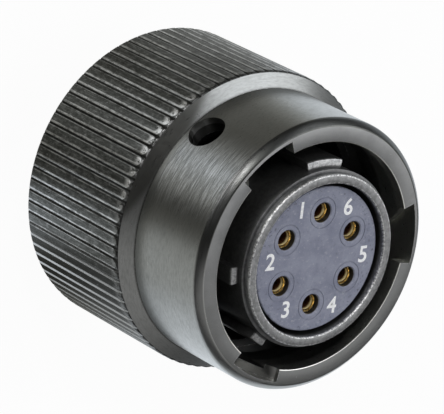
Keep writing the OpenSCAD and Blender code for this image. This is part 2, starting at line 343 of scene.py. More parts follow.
# %% Tool for a slot
def upright(name, inner, outer, low, high):
    """A plane on end between two radii and two heights, open in edit mode with all of it picked."""
    deselect()
    bpy.ops.mesh.primitive_plane_add(size=1, rotation=(math.pi / 2, 0, 0))
    piece = bpy.context.object
    piece.name = piece.data.name = name
    bpy.ops.object.transform_apply(rotation=True)
    edit(piece)
    pick_all()
    size = ((outer - inner) * MM, 1, (high - low) * MM)
    bpy.ops.transform.resize(value=size, center_override=ORIGIN)
    bpy.ops.transform.translate(value=((outer + inner) / 2 * MM, 0, (low + high) / 2 * MM))
    return piece


def bayonet_tool(turn):
    """One slot with its ramp, as a bent bar that the ring is cut with."""
    sections = bayonet_sections()
    angle, low, high = sections[0]
    tool = upright("slot_tool", LIP_R - 1, GROOVE_R, low, high)
    turn_picked(math.radians(turn + angle))
    for (a0, low0, high0), (a1, low1, high1) in zip(sections, sections[1:]):
        middle = (low0 + high0) / 2
        stretch = (high1 - low1) / (high0 - low0)
        bpy.ops.mesh.extrude_region_move()
        turn_picked(math.radians(a1 - a0))
        bpy.ops.transform.resize(value=(1, 1, stretch), center_override=(0, 0, middle * MM))
        bpy.ops.transform.translate(value=(0, 0, ((low1 + high1) / 2 - middle) * MM))
    pick_all()
    bpy.ops.mesh.normals_make_consistent(inside=False)
    deselect()
    return tool


turns = [SLOT_TURN + 120 * i for i in range(3)]
print("slots at", turns, "degrees")

# %% [markdown]
# ### Witness holes
# At the end of each ramp a small hole goes through the neck, and the pin shows in it once the ring is
# locked. A drill that stands out from the axis makes it, after the slots, so that it opens into the ramp.

# %% Cut the slots and drill the holes
WITNESS_R, WITNESS_SIDES, DRILL_OUT, DRILL_L = 1.35, 72, 10.2, 6


def witness_tool(turn):
    """A drill that stands out from the axis at a slot's lock position."""
    angle = math.radians(turn - LOCK_TURN)
    out = Vector((math.cos(angle), math.sin(angle), 0)) * DRILL_OUT
    place = out + Vector((0, 0, FACE_Z - LOCK_DEPTH))
    deselect()
    bpy.ops.mesh.primitive_cylinder_add(vertices=WITNESS_SIDES, radius=WITNESS_R * MM, depth=DRILL_L * MM,
                                        location=place * MM, rotation=(0, math.pi / 2, angle))
    bpy.ops.object.transform_apply(location=True, rotation=True)
    return bpy.context.object


cut(ring, [bayonet_tool(turn) for turn in turns])
cut(ring, [witness_tool(turn) for turn in turns])
smooth(ring)

# %% [markdown]
# ## The plug's shell
# The shell is one turned piece too: a threaded tail, the land that the ring turns on with the groove of
# its snap ring, a flange, and a barrel with a stepped rim. Half a degree a side makes the barrel smooth
# and puts the sides of every key on a column.

# %% Turn the shell
WELL_R, TAIL_R, LAND_R, NOTCH_R, FLANGE_R = 6, 6.5, 7.3, 6.88, 8.25
BARREL_R, RIM_R, BORE_R, KEY_R = 6.4, 6.175, 5.5, 7
TAIL_Z, TAIL_TOP, NOTCH_LOW, NOTCH_TOP, WELL_TOP = 0.001, 5.07, 6.02, 6.88, 8
FLANGE_LOW, FLANGE_TOP, KEY_LOW, KEY_Z, STEP_Z, RIM_Z = 10.6, 12.2, 14, 22.3, 22.7, 23.2
SHELL_SIDES = 720
shell = turned(
    "shell_body",
    [
        (WELL_R, TAIL_Z), (TAIL_R, TAIL_Z), (TAIL_R, TAIL_TOP), (LAND_R, TAIL_TOP), (LAND_R, NOTCH_LOW),
        (NOTCH_R, NOTCH_LOW), (NOTCH_R, NOTCH_TOP), (LAND_R, NOTCH_TOP), (LAND_R, FLANGE_LOW),
        (FLANGE_R, FLANGE_LOW), (FLANGE_R, FLANGE_TOP), (BARREL_R, FLANGE_TOP), (BARREL_R, KEY_LOW),
        (BARREL_R, KEY_Z), (BARREL_R, STEP_Z), (RIM_R, STEP_Z), (RIM_R, RIM_Z), (BORE_R, RIM_Z),
        (BORE_R, WELL_TOP), (WELL_R, WELL_TOP),
    ],
    SHELL_SIDES,
)
soften(shell, [(RIM_R, RIM_Z), (BORE_R, RIM_Z)], width=0.12, steps=3)
soften(shell, [(BARREL_R, STEP_Z)], width=0.05)
print("shell blank", len(shell.data.polygons), "faces")

# %% [markdown]
# ### Keys
# Keys let the plug go in one way only: a wide one and four narrow ones at unequal angles. They are milled
# from the same piece, so the faces inside a key's outline are picked, extruded and scaled away from the
# axis. Separate blocks would leave a seam.

# %% Raise the keys
WIDE_KEY, NARROW_KEYS = 90, (185, 235, 310, 345)
WIDE_HALF, NARROW_HALF = 12.6, 5.1


def on_key(co):
    turn = math.degrees(math.atan2(co.y, co.x)) % 360
    wide = abs(turn - WIDE_KEY) < WIDE_HALF
    narrow = any(abs(turn - at) < NARROW_HALF for at in NARROW_KEYS)
    return (wide or narrow) and near(radius(co), BARREL_R) and KEY_LOW - 0.01 < co.z < KEY_Z + 0.01


print("key faces:", pick(shell, "polygons", on_key))
bpy.ops.mesh.extrude_region_move()
widen_picked(KEY_R / BARREL_R)
deselect()
soften(shell, [(KEY_R, KEY_Z)], width=0.16)
smooth(shell)

# %% [markdown]
# ### Rear thread
# A cable fitting screws on the tail. A thread is one tooth that climbs round the axis, which is what the
# Screw modifier makes: it turns a small outline and lifts it by the pitch. The tooth starts as a plane
# that is narrowed at its crest, and its two ends are filled afterwards.

# %% Wind the thread
LEAD, CREST_R, CORE_R = 1.058, 7.145, 6.45
TOOTH_W, TOOTH_Z, CREST_SHARE = 0.92, 0.58, 0.16
THREAD_TURNS, THREAD_STEPS = 3, 120
thread = upright("rear_thread", CORE_R, CREST_R, TOOTH_Z - TOOTH_W / 2, TOOTH_Z + TOOTH_W / 2)
pick(thread, "vertices", lambda co: co.x > CREST_R - 0.01)
bpy.ops.transform.resize(value=(1, 1, CREST_SHARE), center_override=(0, 0, TOOTH_Z * MM))
hold(thread)
wind = thread.modifiers.new("wind", "SCREW")
wind.axis = "Z"
wind.angle = math.tau
wind.iterations = THREAD_TURNS
wind.screw_offset = LEAD * MM
wind.steps = wind.render_steps = THREAD_STEPS
bpy.ops.object.modifier_apply(modifier=wind.name)
edit(thread)
pick_all()
bpy.ops.mesh.remove_doubles(threshold=MERGE * MM)
bpy.ops.mesh.fill_holes(sides=4)
bpy.ops.mesh.normals_make_consistent(inside=False)
smooth(thread)

# %% [markdown]
# ## The wave washer
# A thin steel ring with three waves presses the coupling ring backwards, and it flattens when that ring
# is pulled forward. A press would bend it from a flat ring, so it is turned flat here, and then its
# columns are lifted one by one to the height of the wave.

# %% Bend the wave washer
WAVES, WAVE_SIDES, WAVE_LOW, WAVE_LIFT, STRIP = 3, 72, 8.853, 1.137, 0.25
WAVE_IN, WAVE_OUT, WAVE_TOP = 7.361, 8.249, WAVE_LOW + STRIP
spring = turned(
    "wave_spring",
    [(WAVE_IN, WAVE_LOW), (WAVE_OUT, WAVE_LOW), (WAVE_OUT, WAVE_TOP), (WAVE_IN, WAVE_TOP)],
    WAVE_SIDES,
)


def side(co):
    return round(math.atan2(co.y, co.x) / math.tau * WAVE_SIDES) % WAVE_SIDES


for i in range(WAVE_SIDES):
    pick(spring, "vertices", lambda co: side(co) == i)
    lift = WAVE_LIFT * (1 + math.cos(WAVES * i * math.tau / WAVE_SIDES)) / 2
    bpy.ops.transform.translate(value=(0, 0, lift * MM))
deselect()
smooth(spring)

# %% [markdown]
# ## The insert
# The insert is a moulded block that holds the contacts. It is turned as a solid that fills the shell's
# bore, with a flange at the rear that stops it and a smaller face in front.

# %% Turn the insert
INSERT_Z, INSERT_FACE_R, INSERT_R, INSERT_FLANGE_R = 22.75, 5.2, 5.47, 5.97
INSERT_LOW, INSERT_FLANGE_TOP, INSERT_STEP, INSERT_SIDES = 6, 7.97, 20.55, 192
insert = turned(
    "insert_body",
    [
        (INSERT_FLANGE_R, INSERT_LOW), (INSERT_FLANGE_R, INSERT_FLANGE_TOP), (INSERT_R, INSERT_FLANGE_TOP),
        (INSERT_R, INSERT_STEP), (INSERT_FACE_R, INSERT_STEP), (INSERT_FACE_R, INSERT_Z),
    ],
    INSERT_SIDES,
    closed=False,
)
soften(insert, [(INSERT_FACE_R, INSERT_Z)], width=0.13, steps=3)
print("insert blank", len(insert.data.polygons), "faces")

# %% [markdown]
# ### Cavities
# Six stepped cavities hold the contacts. One stepped drill is turned, with a countersink for the mouth,
# and copies of it cut the block. A thin tube cuts the faint circle that the mould left round each hole.

# %% Drill the cavities
CIRCLE_R, HOLE_R, MOUTH_R, HOOD_R, BODY_R, COLLAR_R = 3.302, 0.73, 0.8, 0.9, 0.79, 1.05
COLLAR_LOW, COLLAR_TOP, HOOD_LOW, HOOD_TOP, PLAY = 9.6, 10.4, 14.42, 21.9, 0.03
DRILL_LOW, DRILL_TOP, DRILL_SIDES = 5, 24, 64
MARK_IN, MARK_OUT, MARK_Z = 1.07, 1.13, INSERT_Z - 0.04
contacts = [math.radians(90 + 60 * i) for i in range(6)]
drill = turned(
    "drill",
    [
        (BODY_R + PLAY, DRILL_LOW), (BODY_R + PLAY, COLLAR_LOW - PLAY), (COLLAR_R + PLAY, COLLAR_LOW - PLAY),
        (COLLAR_R + PLAY, COLLAR_TOP + PLAY), (BODY_R + PLAY, COLLAR_TOP + PLAY), (BODY_R + PLAY, HOOD_LOW),
        (HOOD_R, HOOD_LOW), (HOOD_R, HOOD_TOP), (HOLE_R, HOOD_TOP), (HOLE_R, INSERT_Z - 0.06),
        (MOUTH_R, INSERT_Z + 0.01), (MOUTH_R, DRILL_TOP),
    ],
    DRILL_SIDES,
    closed=False,
)
tube = turned(
    "tube",
    [(MARK_IN, MARK_Z), (MARK_OUT, MARK_Z), (MARK_OUT, DRILL_TOP), (MARK_IN, DRILL_TOP)],
    DRILL_SIDES,
)


def placed_copy(piece, name, turn):
    """A copy with a mesh of its own, set out to the circle of contacts and turned about the axis."""
    copy = piece.copy()
    copy.data = piece.data.copy()
    copy.name = copy.data.name = name
    bpy.context.collection.objects.link(copy)
    edit(copy)
    pick_all()
    bpy.ops.transform.translate(value=(CIRCLE_R * MM, 0, 0))
    turn_picked(turn)
    deselect()
    return copy


cut(insert, [placed_copy(drill, "drill_copy", turn) for turn in contacts])
cut(insert, [placed_copy(tube, "tube_copy", turn) for turn in contacts])
for tool in (drill, tube):
    bpy.data.objects.remove(tool)
smooth(insert)

# %% [markdown]
# ## The sockets
# A socket is machined from brass and finished in gold. Its front is a tube that a pin slides into, a
# collar keeps it in its cavity, and its rear is a cup with an open side where the wire is soldered. One
# is turned, and a mill opens the cup.

# %% Turn one socket
SOCKET_Z, PIN_R, LEAD_IN_R, FINGER_R, FINGER_EDGE = 22.35, 0.53, 0.6, 0.69, 0.03
CUP_Z, CUP_FLOOR, PIN_FLOOR, LEAD_IN_Z, SOCKET_SIDES = 2.5, 5.3, 15.45, 22.2, 48
MILL_PLACE, MILL_SIZE = (1 * MM, 0, 3 * MM), (2 * MM, 3 * MM, 3 * MM)
blank = turned(
    "socket",
    [
        (PIN_R, PIN_FLOOR), (PIN_R, LEAD_IN_Z), (LEAD_IN_R, SOCKET_Z), (FINGER_R - FINGER_EDGE, SOCKET_Z),
        (FINGER_R, SOCKET_Z - FINGER_EDGE), (FINGER_R, HOOD_LOW), (BODY_R, HOOD_LOW), (BODY_R, COLLAR_TOP),
        (COLLAR_R, COLLAR_TOP), (COLLAR_R, COLLAR_LOW), (BODY_R, COLLAR_LOW), (BODY_R, CUP_Z),
        (PIN_R, CUP_Z), (PIN_R, CUP_FLOOR),
    ],
    SOCKET_SIDES,
    closed=False,
)
deselect()
bpy.ops.mesh.primitive_cube_add(size=1, location=MILL_PLACE, scale=MILL_SIZE)
cut(blank, [bpy.context.object])
print("socket", len(blank.data.polygons), "faces")

# %% [markdown]
# A thin saw splits the front into two spring fingers. All six slits run in one direction across the face,
# while the copies are turned to their places, so each copy is set first and sawn there.

# %% Set and saw six
SAW_TURN, SAW_Z, SAW_SIZE = math.radians(63), 19.9, (2 * MM, 0.14 * MM, 5.1 * MM)


def saw(place):
    """A thin saw blade that stands on one contact's axis."""
    deselect()
    bpy.ops.mesh.primitive_cube_add(size=1, location=place + Vector((0, 0, SAW_Z * MM)),
                                    rotation=(0, 0, SAW_TURN), scale=SAW_SIZE)
    bpy.ops.object.transform_apply(location=True, rotation=True, scale=True)
    return bpy.context.object


sockets = [placed_copy(blank, f"socket_piece_{i + 1}", turn) for i, turn in enumerate(contacts)]
for socket, turn in zip(sockets, contacts):
    cut(socket, [saw(Vector((math.cos(turn), math.sin(turn), 0)) * CIRCLE_R * MM)])
    smooth(socket)
bpy.data.objects.remove(blank)

# %% [markdown]
# ## Position numbers
# Plain white numbers stand beside the sockets, so that wires can be told apart. Each starts as a text
# object, which becomes a mesh before it is moved, because a finished piece sits at the origin with its
# place in its mesh.

# %% Print the numbers
NUMBER_TURN, NUMBER_R, NUMBER_SIZE = math.radians(27.5), 4.1, 1.65
INK_HIGH, INK_BOLD = 0.004, 0.03
numbers = []
for i, turn in enumerate(contacts):
    beside = turn + NUMBER_TURN
    deselect()
    bpy.ops.object.text_add()
    text = bpy.context.object
    text.name = f"number_{i + 1}"
    text.data.body = str(i + 1)
    text.data.align_x = text.data.align_y = "CENTER"
    text.data.size = NUMBER_SIZE * MM
    text.data.extrude = INK_HIGH * MM
    text.data.offset = INK_BOLD * MM
    bpy.ops.object.convert(target="MESH")
    number = bpy.context.object
    place = Vector((NUMBER_R * math.cos(beside), NUMBER_R * math.sin(beside), INSERT_Z + INK_HIGH))
    number.location = place * MM
    bpy.ops.object.transform_apply(location=True)
    numbers.append(number)
print("numbers:", len(numbers))

# %% [markdown]
# ## Finishes
# A finish is a material made of nodes. Adding a node, setting its values and joining its sockets are the
# same few steps each time, so one class holds them, with short names for the sums and blends that come up
# most.


# %% Helpers that add nodes
class Nodes:
    """A material with its node tree, and short ways to add nodes to it."""

    def __init__(self, name):
        self.material = bpy.data.materials.new(name)
        self.material.use_nodes = True
        self.tree = self.material.node_tree
        self.shader = self.tree.nodes["Principled BSDF"]

    def put(self, value, socket):
        """Joins a node's output to a socket, or sets the socket to a plain value."""
        if isinstance(value, bpy.types.NodeSocket):
            self.tree.links.new(value, socket)
        else:
            socket.default_value = (*value, 1) if socket.type == "RGBA" else value

    def node(self, kind, inputs=None, **settings):
        node = self.tree.nodes.new(kind)
        for name, value in settings.items():
            setattr(node, name, value)
        for key, value in (inputs or {}).items():
            self.put(value, node.inputs[key])
        return node

    def math(self, operation, a, b=0, c=0):
        return self.node("ShaderNodeMath", {0: a, 1: b, 2: c}, operation=operation).outputs[0]

    def times(self, a, b):
        return self.math("MULTIPLY", a, b)

    def rest(self, share):
        """What a share leaves of one."""
        return self.math("SUBTRACT", 1, share)

    def off(self, value, middle):
        """How far a value is from the middle, either way."""
        return self.math("ABSOLUTE", self.math("SUBTRACT", value, middle))

    def ramp(self, value, low, high, to_low=0, to_high=1):
        """Maps a value smoothly from one range to another."""
        inputs = {0: value, 1: low, 2: high, 3: to_low, 4: to_high}
        return self.node("ShaderNodeMapRange", inputs, interpolation_type="SMOOTHSTEP").outputs[0]

    def mix(self, share, a, b):
        """Blends two colours, with the given share of the second."""
        return self.node("ShaderNodeMix", {0: share, 6: a, 7: b}, data_type="RGBA").outputs[2]


print("materials before the finishes:", len(bpy.data.materials))

# %% [markdown]
# Wear, dirt and machining marks depend on where a point is on the plug. The Texture Coordinate node gives
# that place as Object coordinates, which are scaled here to millimetres, and split into height, distance
# from the axis and angle. Generated coordinates would change with a piece's size.


# %% Helpers that know the plug
class Finish(Nodes):
    """A finish that knows where a point is on the plug, in millimetres."""

    def __init__(self, name):
        super().__init__(name)
        place = self.node("ShaderNodeTexCoord").outputs["Object"]
        scaled = self.node("ShaderNodeVectorMath", {0: place, "Scale": 1 / MM}, operation="SCALE")
        self.mm = scaled.outputs[0]
        self.x, self.y, self.z = self.node("ShaderNodeSeparateXYZ", {0: self.mm}).outputs
        flat = self.point(self.x, self.y, 0)
        self.r = self.node("ShaderNodeVectorMath", {0: flat}, operation="LENGTH").outputs["Value"]
        self.turn = self.math("ARCTAN2", self.y, self.x)

    def point(self, x, y, z):
        return self.node("ShaderNodeCombineXYZ", {0: x, 1: y, 2: z}).outputs[0]

    def noise(self, scale, detail=3, rough=0.55, place=None):
        place = self.mm if place is None else place
        inputs = {"Vector": place, "Scale": scale, "Detail": detail, "Roughness": rough}
        return self.node("ShaderNodeTexNoise", inputs).outputs[0]

    def lathe_lines(self, scale, stretch):
        """Fine lines that run round the axis."""
        around = self.point(self.times(self.turn, stretch), self.r, self.z)
        return self.noise(scale, 4, 0.7, around)

    def towards(self, degrees, distance):
        """How far a point lies in one direction from the axis, as a share of a distance."""
        angle = math.radians(degrees)
        sideways = self.times(self.y, math.sin(angle) / distance)
        return self.math("MULTIPLY_ADD", self.x, math.cos(angle) / distance, sideways)

    def edges(self, width):
        """Where the surface bends within the given width."""
        soft = self.node("ShaderNodeBevel", {"Radius": width * MM}, samples=6).outputs[0]
        own = self.node("ShaderNodeNewGeometry").outputs["Normal"]
        same = self.node("ShaderNodeVectorMath", {0: soft, 1: own}, operation="DOT_PRODUCT")
        return self.ramp(self.rest(same.outputs["Value"]), 0.02, 0.35)

    def bump(self, height, distance, strength):
        inputs = {"Height": height, "Distance": distance * MM, "Strength": strength}
        self.put(self.node("ShaderNodeBump", inputs).outputs[0], self.shader.inputs["Normal"])

    def lay(self, color, share):
        """Lays a share of a colour over the tone so far."""
        self.tone = self.mix(share, self.tone, color)

    def set(self, rough, metal=0):
        self.put(self.tone, self.shader.inputs["Base Color"])
        self.put(rough, self.shader.inputs["Roughness"])
        self.put(metal, self.shader.inputs["Metallic"])
        self.tell()

    def tell(self):
        print(self.material.name, len(self.tree.nodes), "nodes so far")


print("units in a metre:", round(1 / MM))

# %% [markdown]
# A piece takes one finish all over, or a second one on some of its faces. By hand the second one is a new
# material slot that is assigned to picked faces, and the helper does the same.


# %% Put a finish on
def coat(finish, *pieces):
    """Puts a finish on pieces, in place of whatever they had."""
    for piece in pieces:
        piece.data.materials.clear()
        piece.data.materials.append(finish.material)
    print(finish.material.name, "on", len(pieces), "pieces")


def coat_faces(finish, piece, test):
    """Adds a finish to a piece, on the faces that pass the test."""
    piece.data.materials.append(finish.material)
    count = pick(piece, "polygons", test)
    piece.active_material_index = len(piece.data.materials) - 1
    bpy.ops.object.material_slot_assign()
    deselect()
    print(finish.material.name, "on", count, "faces of", piece.name)


# %% [markdown]
# ### Turned plating
# The ring has a thin dark grey plating with a slight olive tint. On the neck the lathe left fine lines
# round the axis. A noise that is drawn out along the angle gives them, where a Wave texture would be too
# even. On one side the neck has a painted highlight of pale and dark streaks along its lines, and the cone
# below has painted shade.

# %% Lines, painted highlight and painted shade on the neck
NECK_GREY, NECK_PALE, NECK_LINE = (0.38, 0.385, 0.375), (0.46, 0.465, 0.455), (0.33, 0.335, 0.325)
CONE_PAINTED_SHADE, STREAK_HIGHLIGHT_PALE, STREAK_HIGHLIGHT_DARK = (0.12, 0.12, 0.11), (0.8, 0.81, 0.84), (0.16, 0.165, 0.17)
PAINTED_LIGHT_SIDE, PAINTED_LIGHT_R = 144, 10
neck = Finish("turned_plating")
lines = neck.lathe_lines(9, 2.2)
neck.tone = neck.mix(neck.noise(0.55), NECK_GREY, NECK_PALE)
neck.lay(NECK_LINE, neck.ramp(lines, 0.4, 0.7))
facing = neck.towards(PAINTED_LIGHT_SIDE, PAINTED_LIGHT_R)
shaded = neck.ramp(facing, 0.91, 0.98)
# Painted shade on the cone below the neck, on the same side as the painted highlight.
cone_shade = neck.times(shaded, neck.ramp(neck.z, NECK_Z - 0.1, NECK_Z + 0.1, 0.9, 0))
neck.lay(CONE_PAINTED_SHADE, cone_shade)
# Painted highlight: pale and dark streaks along the lines, on the side that faces the given angle.
above_cone = neck.ramp(neck.z, NECK_Z + 0.1, NECK_Z + 0.6)
highlight_streak = neck.times(neck.ramp(facing, 0.9, 0.99), above_cone)
drawn = neck.point(neck.times(neck.turn, 0.7), neck.r, neck.times(neck.z, 2.6))
streak_lines = neck.noise(9, 5, 0.8, drawn)
neck.lay(STREAK_HIGHLIGHT_PALE, neck.times(highlight_streak, neck.ramp(streak_lines, 0.5, 0.57, 0, 0.85)))
neck.lay(STREAK_HIGHLIGHT_DARK, neck.times(highlight_streak, neck.ramp(streak_lines, 0.5, 0.44, 0, 0.75)))
neck.tell()

# %% [markdown]
# The bevel at the front, the corner at the neck's foot, the ramps and the slots' floors each have a tone
# of their own: painted shade in the corner and on the deep wall with the ramps, and painted light and shade
# on the bevel and on the slots' floors. Heights and radii tell these places apart, so no mask has to be
# painted. The Bevel node finds the sharp edges, where specks of bare metal show.

# %% Bevel, ramps and slots
BEVEL_PAINTED_SHADE, BEVEL_PAINTED_LIGHT, BEVEL_SHADE = (0.04, 0.041, 0.038), (0.33, 0.332, 0.325), (0.012, 0.012, 0.011)
CORNER_SHADE, DEEP_SHADE = (0.07, 0.07, 0.065), (0.08, 0.08, 0.079)
SLOT_PAINTED_LIGHT, SLOT_SIDE_PAINTED_LIGHT, SLOT_SHADE = (1, 1, 0.93), (0.8, 0.8, 0.77), (0.11, 0.11, 0.104)
BARE_METAL = (0.75, 0.75, 0.74)
# Painted light and shade on the front bevel: dark on one side, pale on the other, near black where shaded.
bevel = neck.mix(neck.ramp(neck.y, 2.5, -0.8), BEVEL_PAINTED_SHADE, BEVEL_PAINTED_LIGHT)
bevel = neck.mix(shaded, bevel, BEVEL_SHADE)
neck.lay(bevel, neck.ramp(neck.z, EDGE_Z - 0.12, EDGE_Z - 0.02, 0, 0.85))
# Painted shade in the corner at the neck's foot.
corner = neck.ramp(neck.off(neck.z, NECK_Z + 0.02), 0.02, 0.09, 0.75, 0)
neck.lay(CORNER_SHADE, corner)
# Painted shade on the deep inner wall where the ramps run.
inside = neck.ramp(neck.r, GROOVE_R + 0.125, GROOVE_R + 0.225, 1, 0)
deep_shade = neck.times(inside, neck.ramp(neck.z, FACE_Z - 5.3, FACE_Z - 3.3, 0.9, 0))
neck.lay(DEEP_SHADE, deep_shade)
# Painted light and shade on the slots' floors: pale in the upper slots; in the bottom slot dark, with its
# side painted pale.
slots = neck.times(inside, neck.ramp(neck.z, FACE_Z - 3.1, FACE_Z - 2.7, 0, 0.9))
bottom_slot = neck.mix(neck.ramp(neck.x, -2.1, -1.65), SLOT_SHADE, SLOT_SIDE_PAINTED_LIGHT)
slot_tone = neck.mix(neck.ramp(neck.y, -7.5, -6), bottom_slot, SLOT_PAINTED_LIGHT)
neck.lay(slot_tone, slots)
speck = neck.noise(5.5, 4, 0.7)
worn = neck.times(neck.edges(0.1), neck.ramp(speck, 0.48, 0.62))
neck.lay(BARE_METAL, worn)
neck.set(neck.ramp(lines, 0.2, 0.8, 0.26, 0.36), metal=1)
neck.bump(lines, 0.006, 0.5)

# %% [markdown]
# ### Dull plating
# The flat front of the lip is knocked each time the plug is put in, so it has lost its shine and shows
# small specks. It is rougher than the neck, and painted light makes it paler towards one side. A picture of
# worn metal could be laid on it, but two noises do as well and never repeat.

# %% Dull plating on the lip
LIP_GREY, LIP_PAINTED_LIGHT = (0.215, 0.218, 0.215), (0.345, 0.349, 0.351)
LIP_STAIN, LIP_SPECK = (0.16, 0.162, 0.16), (0.5, 0.5, 0.5)
lip = Finish("dull_plating")
speck = lip.noise(7, 5, 0.75)
# Painted light: paler towards one side.
lip.tone = lip.mix(lip.ramp(lip.y, -9, 9), LIP_GREY, LIP_PAINTED_LIGHT)
lip.lay(LIP_STAIN, lip.ramp(lip.noise(0.5), 0.4, 0.7, 0, 0.3))
lip.lay(LIP_SPECK, lip.ramp(speck, 0.62, 0.7, 0, 0.6))
worn = lip.times(lip.edges(0.12), lip.ramp(speck, 0.45, 0.6))
lip.lay(BARE_METAL, worn)
lip.set(lip.ramp(speck, 0.3, 0.7, 0.44, 0.56), metal=1)
lip.bump(speck, 0.006, 0.4)

# %% [markdown]
# ### Knurled plating
# The knurl is pressed, not turned, so it has no lathe lines. Its plating is darker, with pale streaks
# along the teeth and stains across them. The angle times the number of teeth, less its whole part, tells
# where a point lies across its tooth, so the same few nodes shade every tooth.

# %% Streaks and stains on the grip
GRIP_DARK, GRIP_GREY, GRIP_FLANK = (0.09, 0.093, 0.087), (0.17, 0.175, 0.17), (0.06, 0.062, 0.056)
STREAK_PALE, STAIN_PALE, STAIN_DARK = (0.36, 0.365, 0.36), (0.38, 0.385, 0.38), (0.05, 0.05, 0.047)
SHADE_SIDE, GRIP_SHADE = 215, (0.03, 0.031, 0.029)
grip = Finish("knurled_plating")
tooth = grip.math("FRACT", grip.times(grip.turn, TEETH / math.tau))
across = grip.math("SUBTRACT", grip.math("FRACT", grip.math("ADD", tooth, 0.5)), 0.5)
arc = grip.times(grip.turn, GRIP_R)
along = grip.point(grip.times(arc, 5), 0, grip.times(grip.z, 0.35))
streak = grip.noise(1.6, 4, 0.6, along)
spread = grip.point(grip.times(arc, 1.7), 0, grip.times(grip.z, 0.7))
mottle = grip.noise(2.4, 6, 0.8, spread)
grip.tone = grip.mix(grip.noise(0.45), GRIP_DARK, GRIP_GREY)
grip.lay(GRIP_FLANK, grip.ramp(tooth, 0.15, 0.9, 0.45, 0))
grip.lay(STREAK_PALE, grip.ramp(streak, 0.5, 0.75, 0, 0.55))
grip.lay(STAIN_PALE, grip.ramp(mottle, 0.5, 0.62, 0, 0.45))
grip.lay(STAIN_DARK, grip.ramp(mottle, 0.38, 0.48, 0.65, 0))
facing = grip.towards(SHADE_SIDE, GRIP_R)
grip.lay(GRIP_SHADE, grip.ramp(facing, 0.9, 0.96, 0, 0.85))
grip.tell()

# %% [markdown]
# Wear and painted highlight make the edges of the teeth bright lines, one on each side of a groove, and
# on the shaded side a single bolder line that is painted highlight only. The Bevel node could find these
# edges too, but not tell one side of a groove from the other.

# %% Worn and painted bright edges of the teeth
EDGE_WEAR_AND_HIGHLIGHT = (0.92, 0.925, 0.93)
NEAR_EDGE, FAR_EDGE, BOLD_EDGE = -0.19, 0.13, 0.08
near_edge = grip.ramp(grip.off(across, NEAR_EDGE), 0.05, 0.12, 0.8, 0)
far_edge = grip.ramp(grip.off(across, FAR_EDGE), 0.02, 0.06, 0.5, 0)
# Painted highlight: the bold line on the shaded side.
bold_highlight = grip.ramp(grip.off(across, BOLD_EDGE), 0.04, 0.1, 0.62, 0)
below = grip.ramp(facing, 0.9, 0.96)
above = grip.rest(below)
lines = grip.times(grip.math("ADD", near_edge, far_edge), above)
lines = grip.math("MULTIPLY_ADD", bold_highlight, below, lines)
# Wear, and painted highlight at full strength on the shaded side.
wear_and_highlight = grip.ramp(grip.math("ADD", streak, mottle), 0.8, 1.15, 0.15, 1)
wear_and_highlight = grip.math("MAXIMUM", wear_and_highlight, below)
grip.lay(EDGE_WEAR_AND_HIGHLIGHT, grip.times(lines, wear_and_highlight))
grip.tell()

# %% [markdown]
# The tips of the teeth take most of the knocks, so on the struck side they are chipped to bare metal.
# Painted shade darkens the grooves and the ends of the teeth at the cone. A tip is round, so the height
# that counts is raised towards the sides of its tooth.

# %% Tips and grooves of the teeth
NICK_BRIGHT, SPECK_PALE, SPECK_DARK = (1, 1, 1), (0.55, 0.555, 0.56), (0.05, 0.05, 0.048)
GROOVE_SHADE, STRUCK_SIDE, TIP_CURVE = (0.03, 0.03, 0.028), 144, 1.8
struck = grip.ramp(grip.towards(STRUCK_SIDE, GRIP_R), 0.86, 0.97, 0.15, 1)
chip = grip.ramp(grip.noise(2.8, 4, 0.7), 0.4, 0.5)
from_groove = grip.math("ABSOLUTE", across)
from_crest = grip.math("SUBTRACT", 0.5, from_groove)
reach = grip.math("MULTIPLY_ADD", grip.math("POWER", from_crest, 2), TIP_CURVE, grip.z)
nicks = grip.times(grip.ramp(reach, CONE_Z - 0.8, CONE_Z - 0.25), chip)
nicks = grip.times(nicks, grip.ramp(from_crest, 0.25, 0.38, 1, 0))
grip.lay(NICK_BRIGHT, grip.times(nicks, struck))
speck = grip.noise(6, 4, 0.75)
grip.lay(SPECK_PALE, grip.ramp(speck, 0.62, 0.7, 0, 0.75))
grip.lay(SPECK_DARK, grip.ramp(speck, 0.4, 0.32, 0, 0.6))
# Painted shade in the grooves, and below at the ends of the teeth.
gap = grip.times(grip.ramp(from_groove, 0.07, 0.13, 0.75, 0), above)
grip.lay(GROOVE_SHADE, gap)
ends = grip.ramp(reach, CONE_Z - 0.11, CONE_Z - 0.01)
ends = grip.times(ends, grip.ramp(facing, 0.9, 0.96, 0.85, 0.3))
grip.lay(GROOVE_SHADE, ends)
grip.set(grip.ramp(speck, 0.3, 0.7, 0.34, 0.5), metal=1)
grip.bump(grip.math("ADD", mottle, streak), 0.02, 0.6)

# %% [markdown]
# The ring is one piece, so its three finishes share it by faces: the grip by its radius, the lip by its
# height, and the turned plating keeps the rest. Three separate pieces would show seams.

# %% Put the three on the ring
GRIP_FACES_R = 10.55
coat(neck, ring)
coat_faces(grip, ring, lambda co: radius(co) > GRIP_FACES_R and co.z < CONE_Z + 0.1)
coat_faces(lip, ring, lambda co: near(co.z, FACE_Z))

# %% [markdown]
# ### Shell plating
# The barrel has the same kind of plating, a little paler and blotched. It is rubbed bright in two thin
# rings on the rim and on the fronts of the keys, and its outer wall below the rim is painted dark as shade,
# where it stands back inside the ring. Each of these lies at a known radius or height, so ramps find them.

